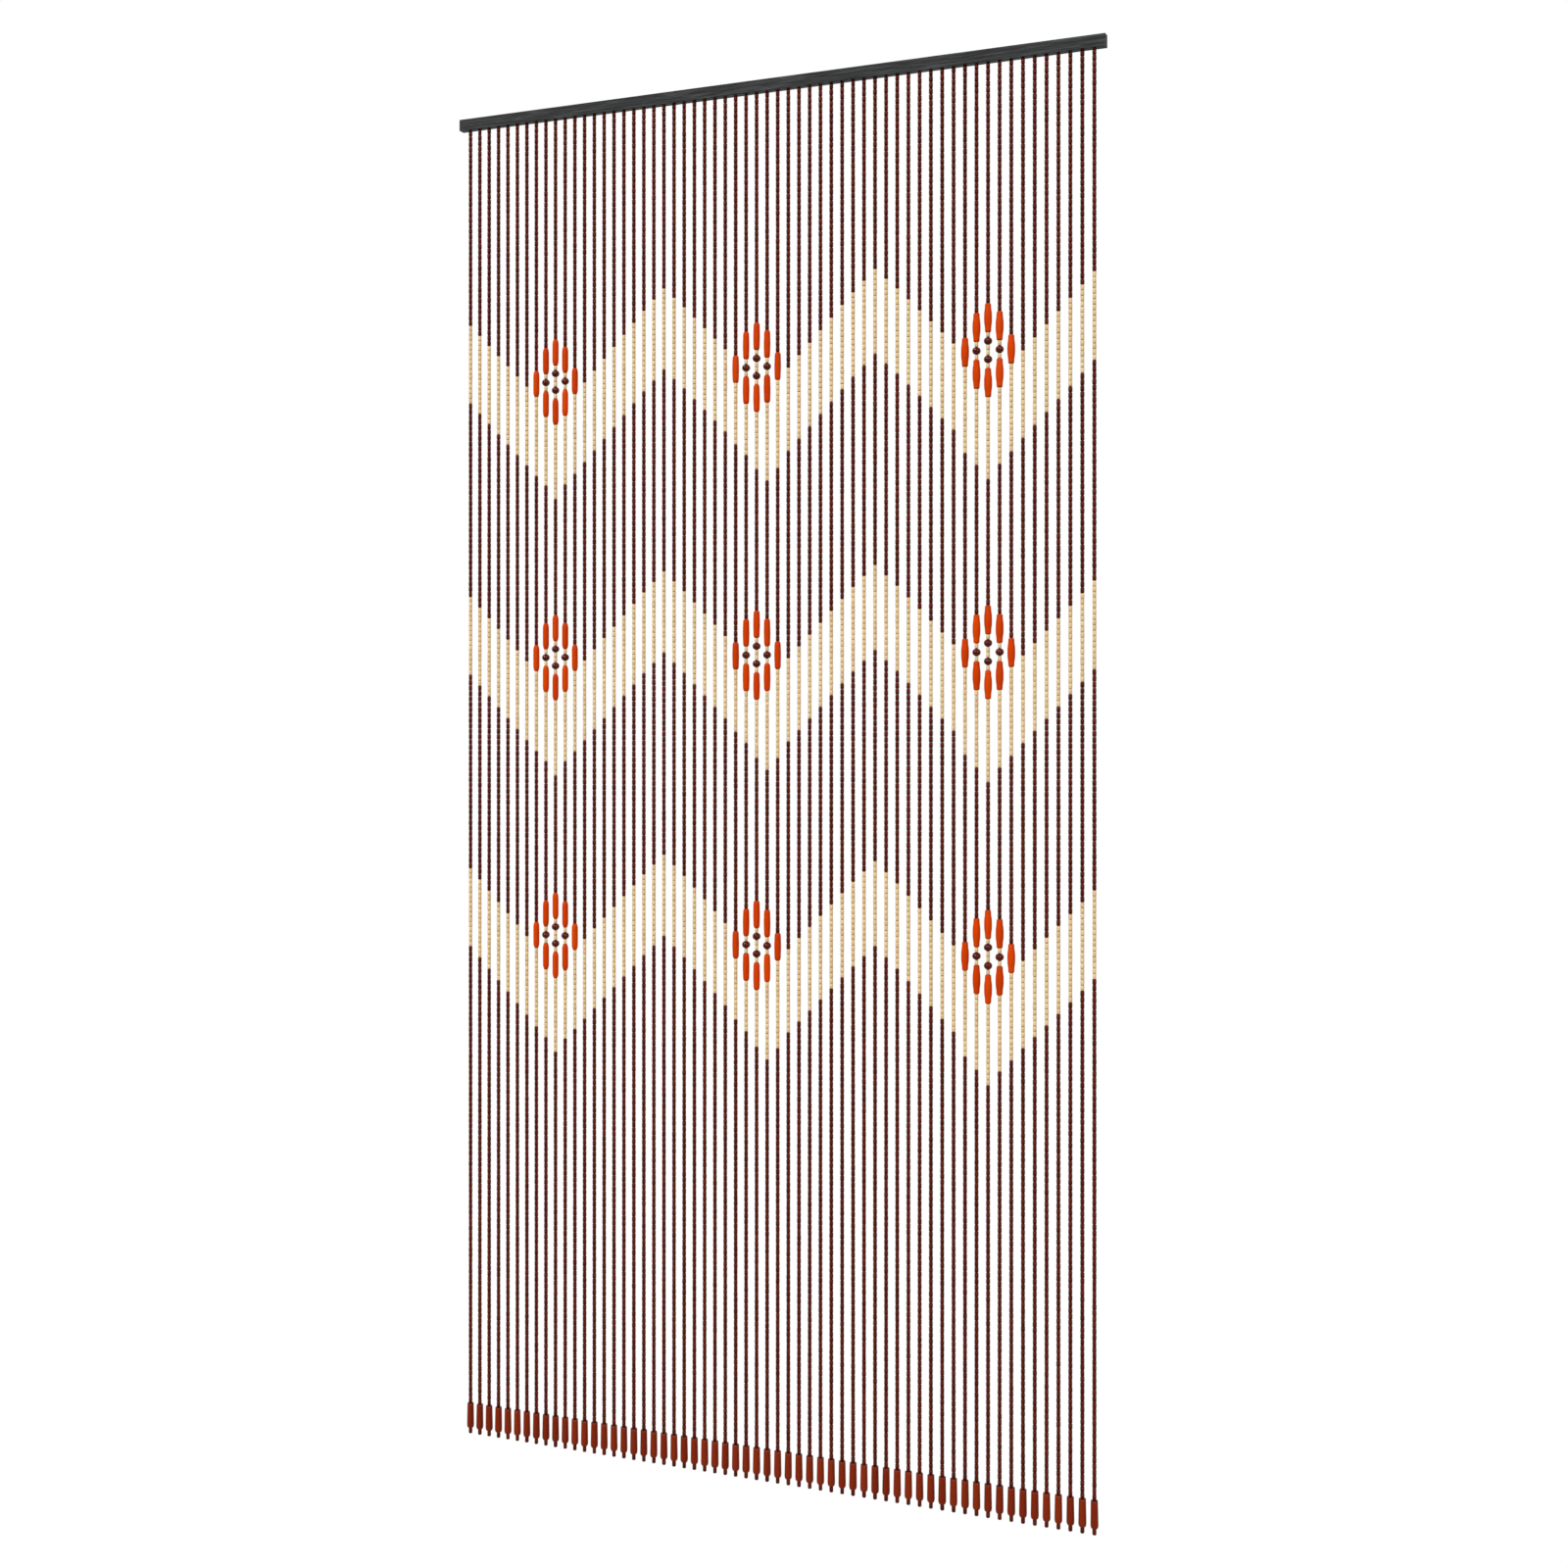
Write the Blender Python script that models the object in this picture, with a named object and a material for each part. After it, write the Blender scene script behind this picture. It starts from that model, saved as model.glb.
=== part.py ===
"""A bead curtain for a doorway: a wooden rail with sixty strands of wooden beads.

Frame: +Z up, the curtain's front faces -Y, +X is to the right as seen from the front.
The origin is the middle of the rail's back face, which lies flat on the door frame.
Each strand is a four-sided column, its corners to the front, back and sides, as wide as
its beads. It swells at real size for the long beads, the balls and the drop bead. The
strands hang apart and are fused at their roots into one narrow strip, which sits in a
groove in the rail's underside.
"""
import bpy
import bmesh

MM = 0.001

# Overall sizes, in millimetres
CURTAIN_WIDTH = 1000.0
CURTAIN_HEIGHT = 2000.0
RAIL_HEIGHT = 17.0
RAIL_DEPTH = 12.0
RAIL_EDGE = 0.6
CLEARANCE = 0.3

# Strands
STRAND_COUNT = 60
STRAND_PITCH = 16.4
BEAD_HALF = 2.7
ROOT_HALF = 1.3

# The strip that holds the strands, and the rail's groove around it
STRIP_WIDTH = 3.4
STRIP_HEIGHT = 5.4
GROOVE_DEPTH = STRIP_HEIGHT + 2.0 * CLEARANCE

# Drop bead and end bead at the foot of each strand: depth below the rail's top, half width
FOOT_SECTIONS = (
    (1953.7, BEAD_HALF),
    (1953.7, 4.80),
    (1986.7, 5.40),
    (1990.2, 4.75),
    (1991.8, BEAD_HALF),
    (1998.8, BEAD_HALF),
    (CURTAIN_HEIGHT, 1.70),
)

# Flowers of long beads and balls, one row for each of the three columns of flowers:
# centre strand (0 is the leftmost), half widths of the long beads at the end, at the
# shoulder and at the middle
FLOWER_COLUMNS = (
    (9, 2.95, 4.20, 4.40),
    (29, 3.15, 4.20, 4.55),
    (50, 3.50, 4.10, 5.25),
)

# Depth of the flowers' centres below the rail's top, one for each band
FLOWER_DEPTHS = (409.0, 820.6, 1235.4)

LONG_BEAD = 39.2
LONG_SHOULDER = 14.5
BALL_HALF = 5.45

# One flower: strand offset from its centre strand, kind of bead, centre above (-) or
# below (+) the flower's centre
FLOWER_BEADS = (
    (0, "long", -44.0),
    (0, "ball", -12.5),
    (0, "ball", 12.5),
    (0, "long", 44.4),
    (1, "long", -32.0),
    (1, "ball", 0.0),
    (1, "long", 32.0),
    (2, "long", 0.8),
)


def strand_x(index):
    """Distance of a strand from the curtain's middle."""
    return (index - (STRAND_COUNT - 1) / 2.0) * STRAND_PITCH


def long_bead(depth, end_half, shoulder_half, middle_half):
    """Sections of one long barrel bead, from its top to its foot."""
    half = LONG_BEAD / 2.0
    return [
        (depth - half, BEAD_HALF),
        (depth - half, end_half),
        (depth - LONG_SHOULDER, shoulder_half),
        (depth, middle_half),
        (depth + LONG_SHOULDER, shoulder_half),
        (depth + half, end_half),
        (depth + half, BEAD_HALF),
    ]


def ball(depth):
    """Sections of one ball, a round form in four steps."""
    return [
        (depth - 0.95 * BALL_HALF, BEAD_HALF),
        (depth - 0.60 * BALL_HALF, 0.82 * BALL_HALF),
        (depth, BALL_HALF),
        (depth + 0.60 * BALL_HALF, 0.82 * BALL_HALF),
        (depth + 0.95 * BALL_HALF, BEAD_HALF),
    ]


def strand_sections(index):
    """Depth below the rail's top and half width of every section of one strand."""
    top = RAIL_HEIGHT + CLEARANCE
    sections = [(top, ROOT_HALF), (top, BEAD_HALF)]
    for centre_strand, end_half, shoulder_half, middle_half in FLOWER_COLUMNS:
        offset = abs(index - centre_strand)
        if offset > 2:
            continue
        for flower_depth in FLOWER_DEPTHS:
            for strand_offset, kind, height in FLOWER_BEADS:
                if strand_offset != offset:
                    continue
                depth = flower_depth + height
                if kind == "long":
                    sections += long_bead(depth, end_half, shoulder_half, middle_half)
                else:
                    sections += ball(depth)
    return sections + list(FOOT_SECTIONS)


def section_ring(bm, x, depth, half):
    """Four corners of a strand's section, to the right, back, left and front."""
    y = -RAIL_DEPTH / 2.0
    z = RAIL_HEIGHT / 2.0 - depth
    corners = ((x + half, y), (x, y + half), (x - half, y), (x, y - half))
    return [bm.verts.new((cx * MM, cy * MM, z * MM)) for cx, cy in corners]


def strip_station(bm, x):
    """Four corners of the strip's section: front and back foot, back and front top."""
    y_front = (-RAIL_DEPTH - STRIP_WIDTH) / 2.0
    y_back = (-RAIL_DEPTH + STRIP_WIDTH) / 2.0
    z_foot = -RAIL_HEIGHT / 2.0 + CLEARANCE
    z_top = z_foot + STRIP_HEIGHT
    corners = ((y_front, z_foot), (y_back, z_foot), (y_back, z_top), (y_front, z_top))
    return [bm.verts.new((x * MM, y * MM, z * MM)) for y, z in corners]


def add_strands(bm):
    """The strip, with every strand grown out of its foot."""
    start = strip_station(bm, strand_x(0) - STRAND_PITCH / 2.0)
    bm.faces.new(start)
    for index in range(STRAND_COUNT):
        x = strand_x(index)
        end = strip_station(bm, x + STRAND_PITCH / 2.0)
        for side in (1, 2, 3):
            following = (side + 1) % 4
            bm.faces.new((start[side], end[side], end[following], start[following]))
        # The strip's foot closes around the root of the strand
        root = section_ring(bm, x, RAIL_HEIGHT - CLEARANCE, ROOT_HALF)
        foot = (end[0], end[1], start[1], start[0])
        for corner in range(4):
            following = (corner + 1) % 4
            bm.faces.new((foot[corner], foot[following], root[corner]))
            bm.faces.new((foot[following], root[following], root[corner]))
        upper = root
        for depth, half in strand_sections(index):
            lower = section_ring(bm, x, depth, half)
            for corner in range(4):
                following = (corner + 1) % 4
                bm.faces.new((upper[corner], upper[following], lower[following], lower[corner]))
            upper = lower
        bm.faces.new(upper)
        start = end
    bm.faces.new(start)


def add_box(bm, size, centre):
    """An upright box of the given sizes."""
    made = bmesh.ops.create_cube(bm, size=1.0)["verts"]
    for vert in made:
        for axis in range(3):
            vert.co[axis] = (vert.co[axis] * size[axis] + centre[axis]) * MM


def new_object(name, build):
    """An object whose mesh the given function fills."""
    mesh = bpy.data.meshes.new(name)
    bm = bmesh.new()
    build(bm)
    bmesh.ops.recalc_face_normals(bm, faces=bm.faces)
    bm.to_mesh(mesh)
    bm.free()
    created = bpy.data.objects.new(name, mesh)
    bpy.context.scene.collection.objects.link(created)
    return created


def give_material(target, name, colour, roughness):
    """A plain Principled material."""
    material = bpy.data.materials.new(name)
    material.use_nodes = True
    shader = material.node_tree.nodes["Principled BSDF"]
    shader.inputs["Base Color"].default_value = (*colour, 1.0)
    shader.inputs["Roughness"].default_value = roughness
    shader.inputs["Metallic"].default_value = 0.0
    target.data.materials.append(material)


for leftover in list(bpy.data.objects):
    bpy.data.objects.remove(leftover)

# The rail: a flat painted bar with softened edges and a groove along its underside
rail = new_object("rail", lambda bm: add_box(
    bm, (CURTAIN_WIDTH, RAIL_DEPTH, RAIL_HEIGHT), (0.0, -RAIL_DEPTH / 2.0, 0.0)))
give_material(rail, "painted wood", (0.045, 0.045, 0.047), 0.45)
edges = rail.modifiers.new("edges", "BEVEL")
edges.width = RAIL_EDGE * MM
edges.segments = 1

# The groove's cutter reaches a little below the underside and stops short of both ends
groove_length = STRAND_COUNT * STRAND_PITCH + 2.0 * CLEARANCE
groove_width = STRIP_WIDTH + 2.0 * CLEARANCE
groove = new_object("groove_cutter", lambda bm: add_box(
    bm, (groove_length, groove_width, 2.0 * GROOVE_DEPTH),
    (0.0, -RAIL_DEPTH / 2.0, -RAIL_HEIGHT / 2.0)))
groove.hide_render = True
groove.display_type = "WIRE"
cut = rail.modifiers.new("groove", "BOOLEAN")
cut.operation = "DIFFERENCE"
cut.solver = "EXACT"
cut.object = groove

# The strands with their strip
strands = new_object("strands", add_strands)
give_material(strands, "dyed wood beads", (0.102, 0.019, 0.010), 0.5)
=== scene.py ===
"""A bead curtain for a doorway: its rail, cords and wooden beads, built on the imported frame.

The curtain faces -Y and hangs down -Z from its rail. Sizes are in millimetres and turned
to metres where a mesh is made. Depths run down from the rail's top.
"""
import math

import bmesh
import bpy
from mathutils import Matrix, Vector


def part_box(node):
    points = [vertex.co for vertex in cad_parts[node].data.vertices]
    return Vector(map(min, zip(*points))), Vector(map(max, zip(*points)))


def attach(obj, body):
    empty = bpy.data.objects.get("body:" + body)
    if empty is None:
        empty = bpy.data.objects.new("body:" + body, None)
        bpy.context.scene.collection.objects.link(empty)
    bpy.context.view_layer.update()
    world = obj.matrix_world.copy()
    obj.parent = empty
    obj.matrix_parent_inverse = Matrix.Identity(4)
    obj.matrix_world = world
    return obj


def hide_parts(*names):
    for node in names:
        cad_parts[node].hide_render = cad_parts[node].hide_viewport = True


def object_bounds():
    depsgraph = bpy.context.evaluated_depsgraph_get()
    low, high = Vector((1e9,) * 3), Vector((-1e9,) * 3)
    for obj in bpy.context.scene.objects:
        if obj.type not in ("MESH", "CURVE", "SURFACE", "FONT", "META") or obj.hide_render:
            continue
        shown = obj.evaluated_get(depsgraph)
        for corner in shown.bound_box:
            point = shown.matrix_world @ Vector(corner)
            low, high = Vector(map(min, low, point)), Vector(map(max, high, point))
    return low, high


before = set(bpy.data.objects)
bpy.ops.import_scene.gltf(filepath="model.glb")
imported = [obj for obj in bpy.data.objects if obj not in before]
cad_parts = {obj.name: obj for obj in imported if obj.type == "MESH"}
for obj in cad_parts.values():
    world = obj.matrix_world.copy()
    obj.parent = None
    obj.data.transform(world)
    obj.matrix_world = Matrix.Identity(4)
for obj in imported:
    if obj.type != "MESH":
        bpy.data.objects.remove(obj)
cad_low, cad_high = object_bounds()


# Rail
# A planed softwood bar with one thin coat of dark grey paint, so that its grain still
# shows. Its edges are lightly broken with sandpaper, and a row of holes is drilled in its
# underside, where the cords are knotted and glued.
MM = 0.001
rail_low, rail_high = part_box("rail")
RAIL_TOP = rail_high.z
RAIL_HEIGHT = (rail_high.z - rail_low.z) / MM
CURTAIN_MIDDLE_Y = (rail_high.y + rail_low.y) / 2.0
RAIL_EDGE = 0.5
RAIL_EDGE_STEPS = 3
STRAND_COUNT = 60
STRAND_PITCH = 16.4
CORD_HOLE = 3.0
CORD_HOLE_DEPTH = 5.0
CORD_HOLE_SIDES = 12


def strand_x(strand):
    """Where a strand hangs, in metres; strand 0 is the leftmost."""
    return (strand - (STRAND_COUNT - 1) / 2.0) * STRAND_PITCH * MM


def linear(hex_colour):
    """An sRGB hex colour as linear red, green, blue and alpha."""
    parts = [int(hex_colour[start:start + 2], 16) / 255.0 for start in (1, 3, 5)]
    return (*[c / 12.92 if c <= 0.04045 else ((c + 0.055) / 1.055) ** 2.4 for c in parts], 1.0)


def add_node(tree, kind, inputs=None, stops=(), **settings):
    """Adds a node. Its inputs are values or linked sockets, its stops a ramp's places and colours."""
    node = tree.nodes.new(kind)
    for name, value in settings.items():
        setattr(node, name, value)
    for key, value in (inputs or {}).items():
        if isinstance(value, bpy.types.NodeSocket):
            tree.links.new(value, node.inputs[key])
        else:
            node.inputs[key].default_value = value
    for number, (position, shade) in enumerate(stops):
        ramp = node.color_ramp.elements
        stop = ramp[number] if number < len(ramp) else ramp.new(position)
        stop.position = position
        stop.color = linear(shade)
    return node


def new_tree(name, sockets):
    """A geometry node tree with named inputs, given as name and socket type."""
    tree = bpy.data.node_groups.new(name, "GeometryNodeTree")
    tree.interface.new_socket("Geometry", in_out="INPUT", socket_type="NodeSocketGeometry")
    for label, socket_type in sockets:
        tree.interface.new_socket(label, in_out="INPUT", socket_type=socket_type)
    tree.interface.new_socket("Geometry", in_out="OUTPUT", socket_type="NodeSocketGeometry")
    return tree, add_node(tree, "NodeGroupInput").outputs


def finish_tree(tree, geometry, finish):
    """Ends a tree in plain geometry that wears the given finish."""
    plain = add_node(tree, "GeometryNodeRealizeInstances", {"Geometry": geometry})
    worn = add_node(tree, "GeometryNodeSetMaterial", {
        "Geometry": plain.outputs["Geometry"], "Material": finish})
    add_node(tree, "NodeGroupOutput", {"Geometry": worn.outputs["Geometry"]})


def grow(piece, tree, values):
    """Runs a node tree on a piece with the given inputs and keeps the plain mesh it makes."""
    modifier = piece.modifiers.new(tree.name, "NODES")
    modifier.node_group = tree
    for item in tree.interface.items_tree:
        if item.in_out == "INPUT" and item.name in values:
            modifier[item.identifier] = values[item.name]
    evaluated = bpy.context.evaluated_depsgraph_get()
    mesh = bpy.data.meshes.new_from_object(piece.evaluated_get(evaluated))
    piece.modifiers.remove(modifier)
    mesh.name = piece.name
    mesh.materials.clear()
    mesh.materials.append(values["Finish"])
    piece.data = mesh


def new_piece(name, bm):
    """An object in the scene that takes over a finished bmesh."""
    mesh = bpy.data.meshes.new(name)
    bm.to_mesh(mesh)
    bm.free()
    piece = bpy.data.objects.new(name, mesh)
    bpy.context.scene.collection.objects.link(piece)
    return piece


def new_finish(name):
    """A material and its tree, with the Principled shader that its nodes feed."""
    finish = bpy.data.materials.new(name)
    finish.use_nodes = True
    return finish, finish.node_tree, finish.node_tree.nodes["Principled BSDF"]


# Softwood under one thin coat of dark grey paint: the eye still sees streaks of the grain
# that run the length of the bar, drawn about twice as coarse as real ones so that they
# show, and a dull satin surface.
STREAK_WIDTH = 1.6
STREAK_LENGTH = 45.0
STREAK_RELIEF = 0.2
PAINT_ROUGHNESS = 0.6
PAINT_SPECULAR = 0.2
painted_bar, tree, shader = new_finish("thinly painted softwood")
place = add_node(tree, "ShaderNodeTexCoord").outputs["Object"]
along = add_node(tree, "ShaderNodeMapping", {
    "Vector": place,
    "Scale": (1.0 / (STREAK_LENGTH * MM), 1.0 / (STREAK_WIDTH * MM), 1.0 / (STREAK_WIDTH * MM))})
streaks = add_node(tree, "ShaderNodeTexNoise", {
    "Vector": along.outputs["Vector"], "Scale": 1.0, "Detail": 5.0, "Roughness": 0.62})
shades = add_node(
    tree, "ShaderNodeValToRGB", {"Fac": streaks.outputs["Fac"]},
    stops=((0.35, "#121314"), (0.5, "#2A2B2C"), (0.66, "#464748")))
relief = add_node(tree, "ShaderNodeBump", {
    "Height": streaks.outputs["Fac"], "Strength": 0.35, "Distance": STREAK_RELIEF * MM})
tree.links.new(shades.outputs["Color"], shader.inputs["Base Color"])
tree.links.new(relief.outputs["Normal"], shader.inputs["Normal"])
shader.inputs["Roughness"].default_value = PAINT_ROUGHNESS
shader.inputs["Specular IOR Level"].default_value = PAINT_SPECULAR

bar = bmesh.new()
bmesh.ops.create_cube(bar, size=1.0)
for vert in bar.verts:
    for axis in range(3):
        middle = (rail_low[axis] + rail_high[axis]) / 2.0
        vert.co[axis] = middle + vert.co[axis] * (rail_high[axis] - rail_low[axis])
bmesh.ops.bevel(
    bar, geom=bar.edges[:], offset=RAIL_EDGE * MM, segments=RAIL_EDGE_STEPS, profile=0.5,
    affect="EDGES")
rail = new_piece("rail_bar", bar)

tree, given = new_tree("drilled holes", (
    ("Hole radius", "NodeSocketFloat"), ("Hole depth", "NodeSocketFloat"), ("Sides", "NodeSocketInt"),
    ("Holes", "NodeSocketInt"), ("First hole", "NodeSocketVector"), ("Spacing", "NodeSocketVector"),
    ("Finish", "NodeSocketMaterial")))

# Each drill is centred on the underside, so it is twice as long as the hole is deep
drill_length = add_node(tree, "ShaderNodeMath", {0: given["Hole depth"], 1: 2.0}, operation="MULTIPLY")
drill = add_node(tree, "GeometryNodeMeshCylinder", {
    "Vertices": given["Sides"], "Radius": given["Hole radius"], "Depth": drill_length.outputs[0]})
row = add_node(tree, "GeometryNodeMeshLine", {
    "Count": given["Holes"], "Start Location": given["First hole"], "Offset": given["Spacing"]})
drills = add_node(tree, "GeometryNodeInstanceOnPoints", {
    "Points": row.outputs["Mesh"], "Instance": drill.outputs["Mesh"]})
cutters = add_node(tree, "GeometryNodeRealizeInstances", {"Geometry": drills.outputs["Instances"]})
drilled = add_node(tree, "GeometryNodeMeshBoolean", {
    "Mesh 1": given["Geometry"], "Mesh 2": cutters.outputs["Geometry"]}, operation="DIFFERENCE")
finish_tree(tree, drilled.outputs["Mesh"], given["Finish"])
grow(rail, tree, {
    "Hole radius": CORD_HOLE / 2.0 * MM, "Hole depth": CORD_HOLE_DEPTH * MM, "Sides": CORD_HOLE_SIDES,
    "Holes": STRAND_COUNT, "First hole": (strand_x(0), CURTAIN_MIDDLE_Y, rail_low.z),
    "Spacing": (STRAND_PITCH * MM, 0.0, 0.0), "Finish": painted_bar})
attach(rail, "root")
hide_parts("rail")


# Order of the beads
# The maker threads each cord from a chart: dark beads, pale beads where the three zigzag
# bands pass, and in their lowest points a flower of long beads and balls. Two more dark
# beads from strand to strand give the bands their slope.

# Depths of the first bead's top, the drop bead's top and foot, and the strand's foot
HEAD = 17.3
DROP_TOP = 1953.7
DROP_FOOT = 1991.8
STRAND_FOOT = 2000.0

# The zigzag: strands at its peaks, some of them past the curtain's sides, the depth where
# the first band starts there, and how long the band is. It starts deeper by the peak step
# on each of the soft strands beside a peak, and by the step on each strand after them.
ZIGZAG_PEAKS = (-2, 20, 40, 61)
PEAK_DEPTH = 284.65
SOFT_STRANDS = 2
PEAK_STEP = 14.9
STEP = 16.47
PALE_BAND = 118.2

# The middle of the first flower, and how far the bands and flowers lie below the first ones
FLOWER_MIDDLE = 409.0
BAND_DEPTHS = (0.0, 412.6, 825.6)
FLOWER_DEPTHS = (0.0, 411.6, 826.4)

# Lengths of the beads along the cord, with the joint between one and the next
DARK_PITCH = 8.17
PALE_PITCH = 7.4
LONG_BEAD = 39.2
BALL = 10.8

# Strands of a flower on each side of its centre strand
FLOWER_REACH = 2

# Centre strand of each column of flowers, and where the pale beads under its first flower
# end on its five strands, left to right
FLOWERS = (
    (9, (548.0, 563.0, 584.0, 563.0, 548.0)),
    (29, (518.0, 534.0, 555.0, 572.0, 555.0)),
    (50, (548.0, 565.0, 585.0, 565.0, 549.0)),
)

# Beads of a flower: strands from its centre, kind, middle above (-) or below (+) its middle
FLOWER_BEADS = (
    (0, "long", -44.0),
    (0, "ball", -12.5),
    (0, "ball", 12.5),
    (0, "long", 44.4),
    (1, "long", -32.0),
    (1, "ball", 0.0),
    (1, "long", 32.0),
    (2, "long", 0.8),
)
BEAD_LENGTHS = {"long": LONG_BEAD, "ball": BALL}


def plain_band(strand):
    """Top and foot of the first pale band on a strand that has no flower."""
    away = min(abs(strand - peak) for peak in ZIGZAG_PEAKS)
    top = PEAK_DEPTH + PEAK_STEP * min(away, SOFT_STRANDS) + STEP * max(away - SOFT_STRANDS, 0)
    return top, top + PALE_BAND


def flower_on(strand):
    """Strands from the centre of the flowers that a strand belongs to, and its pale beads' end."""
    for centre, tails in FLOWERS:
        offset = strand - centre
        if abs(offset) <= FLOWER_REACH:
            return abs(offset), tails[offset + FLOWER_REACH]
    return None


def threaded(strand):
    """Runs of like beads on one cord from the rail down, as kind, top and foot."""
    runs = []
    depth = HEAD
    flower = flower_on(strand)
    for band, middle in zip(BAND_DEPTHS, FLOWER_DEPTHS):
        if flower is None:
            top, foot = plain_band(strand)
            runs += [("dark", depth, top + band), ("pale", top + band, foot + band)]
            depth = foot + band
            continue
        off_centre, tail = flower
        filler = "dark"
        for strands_off, kind, height in FLOWER_BEADS:
            if strands_off != off_centre:
                continue
            bead_middle = FLOWER_MIDDLE + middle + height
            top = bead_middle - BEAD_LENGTHS[kind] / 2.0
            runs += [(filler, depth, top), (kind, top, top + BEAD_LENGTHS[kind])]
            depth = top + BEAD_LENGTHS[kind]
            filler = "pale"
        runs.append(("pale", depth, tail + band))
        depth = tail + band
    runs += [
        ("dark", depth, DROP_TOP), ("drop", DROP_TOP, DROP_FOOT), ("end", DROP_FOOT, STRAND_FOOT)]
    return runs


def start_points(name, kind, strands, pitch=None):
    """A piece with one point at the top of each run, which knows its beads and their pitch."""
    bm = bmesh.new()
    bead_count = bm.verts.layers.int.new("beads")
    bead_pitch = bm.verts.layers.float.new("pitch")
    for strand in strands:
        for run_kind, top, foot in threaded(strand):
            if run_kind != kind:
                continue
            beads = max(1, round((foot - top) / pitch)) if pitch else 1
            start = bm.verts.new((strand_x(strand), CURTAIN_MIDDLE_Y, RAIL_TOP - top * MM))
            start[bead_count] = beads
            start[bead_pitch] = (foot - top) / beads * MM
    return new_piece(name, bm)


def turned(name, outline, sides):
    """One bead as it comes off the lathe: radius and height pairs from its foot to its top."""
    bm = bmesh.new()
    end_grain_and_joint_shade = bm.verts.layers.float.new("end grain")
    rings = []
    for radius, height in outline:
        ring = []
        for side in range(sides):
            turn = math.tau * side / sides
            ring.append(bm.verts.new((
                radius * MM * math.cos(turn), radius * MM * math.sin(turn), height * MM)))
        rings.append(ring)
    for lower, upper in zip(rings, rings[1:]):
        for side in range(sides):
            following = (side + 1) % sides
            wall = bm.faces.new((lower[side], lower[following], upper[following], upper[side]))
            wall.smooth = True
    bm.faces.new(list(reversed(rings[0])))
    bm.faces.new(rings[-1])
    # The end rings are marked so that the finish darkens each bead towards its ends: partly darker end
    # grain, partly painted shade in the joint between beads
    for vert in rings[0] + rings[-1]:
        vert[end_grain_and_joint_shade] = 1.0
    return new_piece(name, bm)


# One tree threads every kind of bead: it repeats each start point down its run and sets a
# bead on each, turned at random on the cord and a little uneven, as drilled wood beads are.
thread_tree, given = new_tree("threaded beads", (
    ("Bead", "NodeSocketObject"), ("Bead pitch", "NodeSocketFloat"),
    ("Uneven thickness", "NodeSocketFloat"), ("Lean", "NodeSocketFloat"), ("Play", "NodeSocketFloat"),
    ("Seed", "NodeSocketInt"), ("Finish", "NodeSocketMaterial")))
beads_in_run = add_node(
    thread_tree, "GeometryNodeInputNamedAttribute", {"Name": "beads"}, data_type="INT")
run_pitch = add_node(
    thread_tree, "GeometryNodeInputNamedAttribute", {"Name": "pitch"}, data_type="FLOAT")

# Each start point is repeated once for each bead, and the first bead hangs half a pitch down
repeated = add_node(thread_tree, "GeometryNodeDuplicateElements", {
    "Geometry": given["Geometry"], "Amount": beads_in_run.outputs["Attribute"]}, domain="POINT")
to_middle = add_node(thread_tree, "ShaderNodeMath", {
    0: repeated.outputs["Duplicate Index"], 1: 0.5}, operation="ADD")
down = add_node(thread_tree, "ShaderNodeMath", {
    0: to_middle.outputs[0], 1: run_pitch.outputs["Attribute"]}, operation="MULTIPLY")
down_cord = add_node(
    thread_tree, "ShaderNodeMath", {0: down.outputs[0], 1: -1.0}, operation="MULTIPLY")

# The four random draws, for play, turn, thickness and shade, each have a seed of their own
seeds = []
for draw in range(4):
    seed = add_node(
        thread_tree, "ShaderNodeMath", {0: given["Seed"], 1: float(draw)}, operation="ADD")
    seeds.append(seed.outputs[0])

# Play lets a bead hang off the cord's middle, to any side
play_back = add_node(
    thread_tree, "ShaderNodeMath", {0: given["Play"], 1: -1.0}, operation="MULTIPLY")
sideways = add_node(thread_tree, "FunctionNodeRandomValue", {
    "Min": play_back.outputs[0], "Max": given["Play"], "Seed": seeds[0]}, data_type="FLOAT_VECTOR")
slid = add_node(thread_tree, "ShaderNodeSeparateXYZ", {"Vector": sideways.outputs["Value"]})
step_down = add_node(thread_tree, "ShaderNodeCombineXYZ", {
    "X": slid.outputs["X"], "Y": slid.outputs["Y"], "Z": down_cord.outputs[0]})
placed = add_node(thread_tree, "GeometryNodeSetPosition", {
    "Geometry": repeated.outputs["Geometry"], "Offset": step_down.outputs["Vector"]})

# Lean tips a bead to any side, and its turn about the cord is any part of a full circle
lean_back = add_node(
    thread_tree, "ShaderNodeMath", {0: given["Lean"], 1: -1.0}, operation="MULTIPLY")
least_turn = add_node(thread_tree, "ShaderNodeCombineXYZ", {
    "X": lean_back.outputs[0], "Y": lean_back.outputs[0], "Z": 0.0})
most_turn = add_node(thread_tree, "ShaderNodeCombineXYZ", {
    "X": given["Lean"], "Y": given["Lean"], "Z": math.tau})
turn = add_node(thread_tree, "FunctionNodeRandomValue", {
    0: least_turn.outputs["Vector"], 1: most_turn.outputs["Vector"], "Seed": seeds[1]},
    data_type="FLOAT_VECTOR")
turned_by = add_node(thread_tree, "FunctionNodeEulerToRotation", {"Euler": turn.outputs["Value"]})

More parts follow.
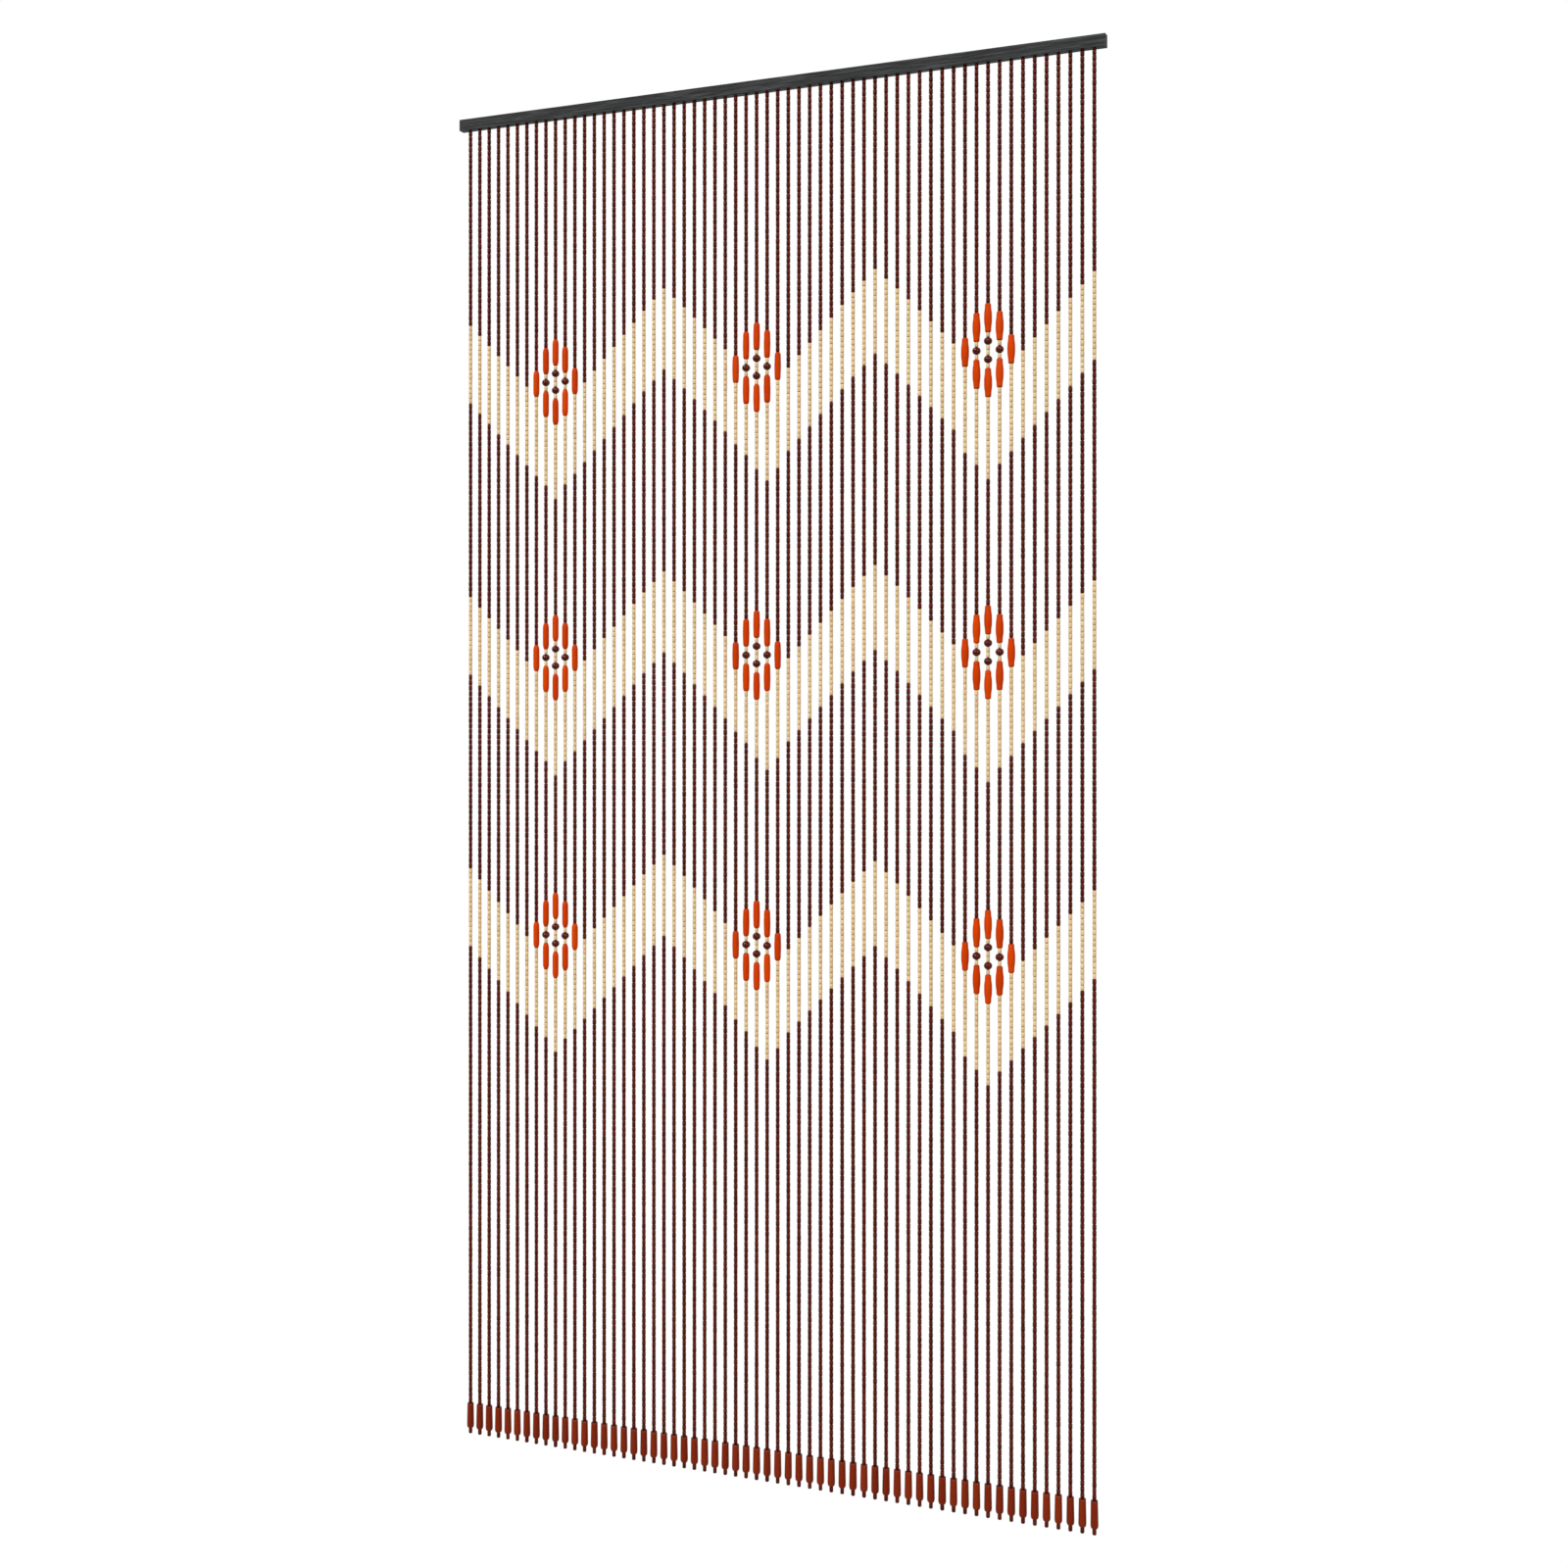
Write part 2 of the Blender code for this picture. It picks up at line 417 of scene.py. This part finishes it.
# Beads are a little thicker or thinner, and all of a run stretch alike to fill it
thinnest = add_node(
    thread_tree, "ShaderNodeMath", {0: 1.0, 1: given["Uneven thickness"]}, operation="SUBTRACT")
thickest = add_node(
    thread_tree, "ShaderNodeMath", {0: 1.0, 1: given["Uneven thickness"]}, operation="ADD")
thickness = add_node(thread_tree, "FunctionNodeRandomValue", {
    2: thinnest.outputs[0], 3: thickest.outputs[0], "Seed": seeds[2]}, data_type="FLOAT")
stretch = add_node(thread_tree, "ShaderNodeMath", {
    0: run_pitch.outputs["Attribute"], 1: given["Bead pitch"]}, operation="DIVIDE")
bead_size = add_node(thread_tree, "ShaderNodeCombineXYZ", {
    "X": thickness.outputs[1], "Y": thickness.outputs[1], "Z": stretch.outputs[0]})
bead = add_node(thread_tree, "GeometryNodeObjectInfo", {"Object": given["Bead"]})
threaded_beads = add_node(thread_tree, "GeometryNodeInstanceOnPoints", {
    "Points": placed.outputs["Geometry"], "Instance": bead.outputs["Geometry"],
    "Rotation": turned_by.outputs["Rotation"], "Scale": bead_size.outputs["Vector"]})

# Each bead carries a tone of its own, which its finish reads
tone = add_node(
    thread_tree, "FunctionNodeRandomValue", {2: 0.0, 3: 1.0, "Seed": seeds[3]}, data_type="FLOAT")
toned = add_node(thread_tree, "GeometryNodeStoreNamedAttribute", {
    "Geometry": threaded_beads.outputs["Instances"], "Name": "tone", "Value": tone.outputs[1]},
    data_type="FLOAT", domain="INSTANCE")
finish_tree(thread_tree, toned.outputs["Geometry"], given["Finish"])


# How uneven the beads are: share of their thickness, play on the cord, and lean in degrees
UNEVEN = 0.02
PLAY = 0.04
SMALL_LEAN = 0.8
LONG_LEAN = 0.3


def thread(piece, bead_shape, pitch, seed, finish, lean=SMALL_LEAN):
    """Threads a bead down every run of a piece, and fixes the piece to the frame."""
    grow(piece, thread_tree, {
        "Bead": bead_shape, "Bead pitch": pitch * MM, "Uneven thickness": UNEVEN,
        "Lean": math.radians(lean), "Play": PLAY * MM, "Seed": seed, "Finish": finish})
    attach(piece, "root")
    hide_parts("strands")


# Cords
# A thin twisted cotton cord runs through each strand, from its hole in the rail to a knot
# inside the end bead. It shows only as a dark line in the joints between beads.
CORD = 1.1
CORD_SIDES = 6
KNOT_HEIGHT = 1.0

# Cotton yarns in two browns: the eye sees slanted bands. The twist is drawn about three
# times as long as real, because less than a millimetre of cord shows at each joint. The
# wave texture repeats after a tenth of a full circle.
CORD_TWIST = 8.3
WAVE_REPEAT = math.tau / 10.0
cord_finish, tree, shader = new_finish("twisted cotton cord")
place = add_node(tree, "ShaderNodeTexCoord").outputs["Object"]
twist = add_node(tree, "ShaderNodeTexWave", {
    "Vector": place, "Scale": WAVE_REPEAT / (CORD_TWIST * MM), "Distortion": 0.0},
    wave_type="BANDS", bands_direction="DIAGONAL")
shades = add_node(
    tree, "ShaderNodeValToRGB", {"Fac": twist.outputs["Fac"]},
    stops=((0.0, "#1C0F0B"), (1.0, "#3A231B")))
tree.links.new(shades.outputs["Color"], shader.inputs["Base Color"])
shader.inputs["Roughness"].default_value = 0.9

lines = bmesh.new()
for strand in range(STRAND_COUNT):
    ends = [lines.verts.new((strand_x(strand), CURTAIN_MIDDLE_Y, RAIL_TOP - depth * MM))
            for depth in (RAIL_HEIGHT - CORD_HOLE_DEPTH, STRAND_FOOT - KNOT_HEIGHT)]
    lines.edges.new(ends)
cords = new_piece("cords", lines)
tree, given = new_tree("cords", (
    ("Cord radius", "NodeSocketFloat"), ("Sides", "NodeSocketInt"), ("Finish", "NodeSocketMaterial")))
path = add_node(tree, "GeometryNodeMeshToCurve", {"Mesh": given["Geometry"]})
section = add_node(tree, "GeometryNodeCurvePrimitiveCircle", {
    "Resolution": given["Sides"], "Radius": given["Cord radius"]})
tube = add_node(tree, "GeometryNodeCurveToMesh", {
    "Curve": path.outputs["Curve"], "Profile Curve": section.outputs["Curve"], "Fill Caps": True})
finish_tree(tree, tube.outputs["Mesh"], given["Finish"])
grow(cords, tree, {"Cord radius": CORD / 2.0 * MM, "Sides": CORD_SIDES, "Finish": cord_finish})
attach(cords, "root")
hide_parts("strands")


# Dark beads
# Short wooden beads cut from thin dowel, tumbled so that their corners are round, and
# dyed a dark red brown under a thin satin varnish. Each run is packed tight on its cord.
DARK_RADIUS = 2.82
BEAD_GAP = 0.16
SMALL_SIDES = 8

# Neighbouring strands whose beads make one mesh
STRANDS_IN_PIECE = 15


def small_bead(name, radius, pitch, corner, end_ratio):
    """A short bead with round corners, in few faces because thousands hang here."""
    half = (pitch - BEAD_GAP) / 2.0
    return turned(name, (
        (radius * end_ratio, -half), (radius, corner - half), (radius, half - corner),
        (radius * end_ratio, half)), SMALL_SIDES)


# Turned beech, dyed or waxed under a satin surface: the eye sees soft edges of light, fine
# flecks down the bead at their real size, and ends darker towards each joint, partly from end
# grain that drank more dye and partly painted shade in the groove between beads.
GRAIN_WIDTH = 0.35
GRAIN_LENGTH = 5.0
GRAIN_RELIEF = 0.05
SATIN_ROUGHNESS = 0.38

# How far apart in the noise the grain of the darkest and the lightest bead is read, so that
# no two beads share their flecks
GRAIN_SPREAD = 100.0


def dyed_wood(name, shades, end_and_joint_shade, grain_share, specular):
    """A beech finish with dark, middle and light shades, mixed by each bead's tone and its grain."""
    finish, tree, shader = new_finish(name)
    place = add_node(tree, "ShaderNodeTexCoord").outputs["Object"]
    tone = add_node(tree, "ShaderNodeAttribute", attribute_name="tone").outputs["Fac"]
    each = add_node(tree, "ShaderNodeMath", {0: tone, 1: GRAIN_SPREAD}, operation="MULTIPLY")
    fibres = add_node(tree, "ShaderNodeMapping", {
        "Vector": place,
        "Scale": (1.0 / (GRAIN_WIDTH * MM), 1.0 / (GRAIN_WIDTH * MM), 1.0 / (GRAIN_LENGTH * MM))})
    grain = add_node(tree, "ShaderNodeTexNoise", {
        "Vector": fibres.outputs["Vector"], "W": each.outputs[0], "Scale": 1.0, "Detail": 2.0},
        noise_dimensions="4D")
    uneven = add_node(tree, "ShaderNodeMix", {
        "Factor": grain_share, 2: tone, 3: grain.outputs["Fac"]}, data_type="FLOAT")
    dye = add_node(
        tree, "ShaderNodeValToRGB", {"Fac": uneven.outputs[0]}, stops=zip((0.1, 0.5, 0.9), shades))
    # Towards each end the wood turns to the end shade: partly darker end grain, partly painted shade
    # in the groove between beads
    end_grain_and_joint_shade = add_node(tree, "ShaderNodeAttribute", attribute_name="end grain").outputs["Fac"]
    wood = add_node(tree, "ShaderNodeMix", {
        "Factor": end_grain_and_joint_shade, 6: dye.outputs["Color"], 7: linear(end_and_joint_shade)}, data_type="RGBA")
    relief = add_node(tree, "ShaderNodeBump", {
        "Height": grain.outputs["Fac"], "Strength": 0.25, "Distance": GRAIN_RELIEF * MM})
    tree.links.new(wood.outputs[2], shader.inputs["Base Color"])
    tree.links.new(relief.outputs["Normal"], shader.inputs["Normal"])
    shader.inputs["Roughness"].default_value = SATIN_ROUGHNESS
    shader.inputs["Specular IOR Level"].default_value = specular
    return finish


dark_wood = dyed_wood(
    "dark dyed beech", ("#4C1304", "#591806", "#651E09"), end_and_joint_shade="#3E0E04",
    grain_share=0.35, specular=0.1)
dark_bead = small_bead("dark_bead_shape", DARK_RADIUS, DARK_PITCH, corner=0.75, end_ratio=0.66)
for number, first in enumerate(range(0, STRAND_COUNT, STRANDS_IN_PIECE), start=1):
    strands = range(first, first + STRANDS_IN_PIECE)
    dark_beads = start_points(f"dark_beads_{number}", "dark", strands, DARK_PITCH)
    thread(dark_beads, dark_bead, DARK_PITCH, seed=10 * number, finish=dark_wood)
bpy.data.objects.remove(dark_bead)


# Pale beads
# The same beads a little shorter and thinner, with less rounded corners, left in the
# natural colour of the wood and waxed. A pale band reads as a finely ringed rod.
PALE_RADIUS = 2.66
PALE_STRANDS_IN_PIECE = 30
pale_wood = dyed_wood(
    "waxed natural beech", ("#D8B887", "#E4C693", "#EDD3A1"), end_and_joint_shade="#9A7040",
    grain_share=0.45, specular=0.15)
pale_bead = small_bead("pale_bead_shape", PALE_RADIUS, PALE_PITCH, corner=0.65, end_ratio=0.82)
for number, first in enumerate(range(0, STRAND_COUNT, PALE_STRANDS_IN_PIECE), start=1):
    strands = range(first, first + PALE_STRANDS_IN_PIECE)
    pale_beads = start_points(f"pale_beads_{number}", "pale", strands, PALE_PITCH)
    thread(pale_beads, pale_bead, PALE_PITCH, seed=100 + 10 * number, finish=pale_wood)
bpy.data.objects.remove(pale_bead)


# Long beads of the flowers
# Long wooden beads turned to a barrel and dyed bright orange under a matt varnish. The
# three columns of flowers use three turnings: near-straight on the left, a little bellied
# in the middle, and with a full belly on the right.
LONG_SIDES = 16
LONG_HALF = LONG_BEAD / 2.0 - BEAD_GAP / 2.0

# Height from the middle as a share of the half length, and the radius there in each column
LONG_OUTLINE = (
    (1.00, 2.75, 3.00, 3.45),
    (0.965, 3.20, 3.60, 4.00),
    (0.90, 3.60, 4.10, 4.25),
    (0.82, 4.10, 4.40, 4.35),
    (0.72, 4.45, 4.50, 4.42),
    (0.60, 4.57, 4.55, 4.62),
    (0.45, 4.60, 4.62, 5.08),
    (0.28, 4.60, 4.75, 5.42),
    (0.00, 4.60, 4.85, 5.52),
)
orange_wood = dyed_wood(
    "orange dyed beech", ("#C43800", "#CF3E00", "#D84600"), end_and_joint_shade="#7E2200",
    grain_share=0.4, specular=0.04)
for column, (centre, _) in enumerate(FLOWERS, start=1):
    upper = [(row[column], row[0] * LONG_HALF) for row in LONG_OUTLINE]
    lower = [(radius, -height) for radius, height in upper[:-1]]
    long_bead = turned("long_bead_shape", lower + upper[::-1], LONG_SIDES)
    strands = range(centre - FLOWER_REACH, centre + FLOWER_REACH + 1)
    long_beads = start_points(f"long_beads_{column}", "long", strands)
    thread(long_beads, long_bead, LONG_BEAD, seed=200 + column, finish=orange_wood, lean=LONG_LEAN)
    bpy.data.objects.remove(long_bead)


# Balls of the flowers
# Round wooden balls, dyed dark brown and dipped in clear lacquer. The lacquer is thick
# and smooth, so it mirrors the lamps as small sharp spots.
BALL_SIDES = 20
BALL_RINGS = 12
BALL_RADIUS = 5.8
BALL_HOLE = 0.9
DYE_CLOUD = 6.0
LACQUER_ROUGHNESS = 0.04
lacquered, tree, shader = new_finish("lacquered dyed beech")
tone = add_node(tree, "ShaderNodeAttribute", attribute_name="tone").outputs["Fac"]
place = add_node(tree, "ShaderNodeTexCoord").outputs["Object"]
cloud = add_node(tree, "ShaderNodeTexNoise", {
    "Vector": place, "Scale": 1.0 / (DYE_CLOUD * MM), "Detail": 3.0})
uneven = add_node(tree, "ShaderNodeMix", {
    "Factor": 0.5, 2: tone, 3: cloud.outputs["Fac"]}, data_type="FLOAT")
dye = add_node(
    tree, "ShaderNodeValToRGB", {"Fac": uneven.outputs[0]}, stops=((0.0, "#4A0D02"), (1.0, "#5F1604")))
tree.links.new(dye.outputs["Color"], shader.inputs["Base Color"])
shader.inputs["Roughness"].default_value = 0.5
shader.inputs["Specular IOR Level"].default_value = 0.0
shader.inputs["Coat Weight"].default_value = 0.6
shader.inputs["Coat Roughness"].default_value = LACQUER_ROUGHNESS

# The outline runs from the hole at the foot to the hole at the top
first_turn = math.asin(BALL_HOLE / BALL_RADIUS)
ring_turn = (math.pi - 2.0 * first_turn) / BALL_RINGS
ball_turns = [first_turn + ring_turn * ring for ring in range(BALL_RINGS + 1)]
ball_outline = [(BALL_RADIUS * math.sin(turn), -BALL / 2.0 * math.cos(turn)) for turn in ball_turns]
ball_shape = turned("ball_shape", ball_outline, BALL_SIDES)
balls = start_points("balls", "ball", range(STRAND_COUNT))
thread(balls, ball_shape, BALL, seed=300, finish=lacquered)
bpy.data.objects.remove(ball_shape)


# Drop beads and end beads
# A heavier bead at the foot of each strand keeps it straight. It widens towards its foot,
# which is rounded, and is dyed red brown. A last small dark bead covers the knot.
DROP_SIDES = 16
DROP_LENGTH = DROP_FOOT - DROP_TOP

# Radius, and depth below the top of the drop bead
DROP_OUTLINE = (
    (4.50, 0.1),
    (4.80, 0.4),
    (4.92, 4.0),
    (5.15, 16.0),
    (5.35, 28.0),
    (5.40, 33.0),
    (5.22, 34.9),
    (4.75, 36.4),
    (4.00, 37.5),
    (2.90, 38.0),
)
drop_wood = dyed_wood(
    "red brown dyed beech", ("#741E04", "#7E2405", "#882B07"), end_and_joint_shade="#401002",
    grain_share=0.45, specular=0.15)
drop_shape = turned("drop_shape", [
    (radius, DROP_LENGTH / 2.0 - depth) for radius, depth in reversed(DROP_OUTLINE)], DROP_SIDES)
drops = start_points("drop_beads", "drop", range(STRAND_COUNT))
thread(drops, drop_shape, DROP_LENGTH, seed=400, finish=drop_wood, lean=LONG_LEAN)
bpy.data.objects.remove(drop_shape)

END_LENGTH = STRAND_FOOT - DROP_FOOT
END_LEAN = 0.5
end_shape = small_bead("end_shape", DARK_RADIUS, END_LENGTH, corner=0.9, end_ratio=0.75)
end_beads = start_points("end_beads", "end", range(STRAND_COUNT))
thread(end_beads, end_shape, END_LENGTH, seed=500, finish=dark_wood, lean=END_LEAN)
bpy.data.objects.remove(end_shape)


# Floor, light and camera
# A white floor just under the strands and a white room, with two wide soft lamps in
# front. The floor glows evenly, and neither lights the beads nor shows in their varnish.
# The camera stands to the curtain's right, level, a little above its middle.
FLOOR_GAP = 30.0
FLOOR_SIDE_METRES = 12.0
FLOOR_GLOW = 0.98
floor_z = cad_low.z - FLOOR_GAP * MM
floor_bm = bmesh.new()
bmesh.ops.create_grid(floor_bm, x_segments=1, y_segments=1, size=FLOOR_SIDE_METRES / 2.0)
for vert in floor_bm.verts:
    vert.co.z = floor_z
floor = new_piece("floor", floor_bm)
floor.visible_diffuse = False
floor.visible_glossy = False
floor_paint, tree, shader = new_finish("white floor paint")
shader.inputs["Base Color"].default_value = linear("#303030")
shader.inputs["Roughness"].default_value = 0.8
shader.inputs["Specular IOR Level"].default_value = 0.0
shader.inputs["Emission Color"].default_value = linear("#FFFFFF")
shader.inputs["Emission Strength"].default_value = FLOOR_GLOW
floor.data.materials.append(floor_paint)

# The room is bright behind the curtain and dim in front, so that the beads stand out dark,
# and the camera itself sees plain white all round. The change lies between two directions,
# where -1 is straight in front and 1 straight behind.
ROOM_BEHIND = 0.9
ROOM_IN_FRONT = 0.25
FRONT_ENDS = -0.5
BACK_STARTS = 0.8
world = bpy.data.worlds.new("white room")
bpy.context.scene.world = world
world.use_nodes = True
tree = world.node_tree
direction = add_node(tree, "ShaderNodeTexCoord").outputs["Generated"]
front_to_back = add_node(tree, "ShaderNodeSeparateXYZ", {"Vector": direction}).outputs["Y"]
room = add_node(tree, "ShaderNodeMapRange", {
    "Value": front_to_back, "From Min": FRONT_ENDS, "From Max": BACK_STARTS,
    "To Min": ROOM_IN_FRONT, "To Max": ROOM_BEHIND})
seen = add_node(tree, "ShaderNodeLightPath").outputs["Is Camera Ray"]
strength = add_node(tree, "ShaderNodeMix", {
    "Factor": seen, 2: room.outputs["Result"], 3: 1.0}, data_type="FLOAT")
tree.links.new(strength.outputs[0], tree.nodes["Background"].inputs["Strength"])
tree.nodes["Background"].inputs["Color"].default_value = linear("#FFFFFF")

# Lamp name, degrees round from the front (left is negative), degrees up, strength, width
LAMPS = (
    ("key_lamp", -28.0, 38.0, 2.3, 16.0),
    ("fill_lamp", 42.0, 20.0, 1.15, 24.0),
)
for name, around, up, power, width in LAMPS:
    lamp_data = bpy.data.lights.new(name, "SUN")
    lamp_data.energy = power
    lamp_data.angle = math.radians(width)
    lamp = bpy.data.objects.new(name, lamp_data)
    lamp.rotation_euler = (math.radians(90.0 - up), 0.0, math.radians(around))
    bpy.context.scene.collection.objects.link(lamp)

# The camera's lens in millimetres, its place in metres and its turn to the left in degrees
LENS = 45.72
CAMERA_PLACE = (1.136, CURTAIN_MIDDLE_Y - 2.608, RAIL_TOP - 0.903)
CAMERA_TURN = 22.9
HORIZON_SHIFT = -0.0455
camera_data = bpy.data.cameras.new("camera")
camera_data.lens = LENS
camera_data.sensor_width = 36.0
camera_data.shift_y = HORIZON_SHIFT
camera = bpy.data.objects.new("camera", camera_data)
camera.location = CAMERA_PLACE
camera.rotation_euler = (math.radians(90.0), 0.0, math.radians(CAMERA_TURN))
bpy.context.scene.collection.objects.link(camera)
bpy.context.scene.camera = camera
bpy.context.scene.view_settings.view_transform = "Standard"
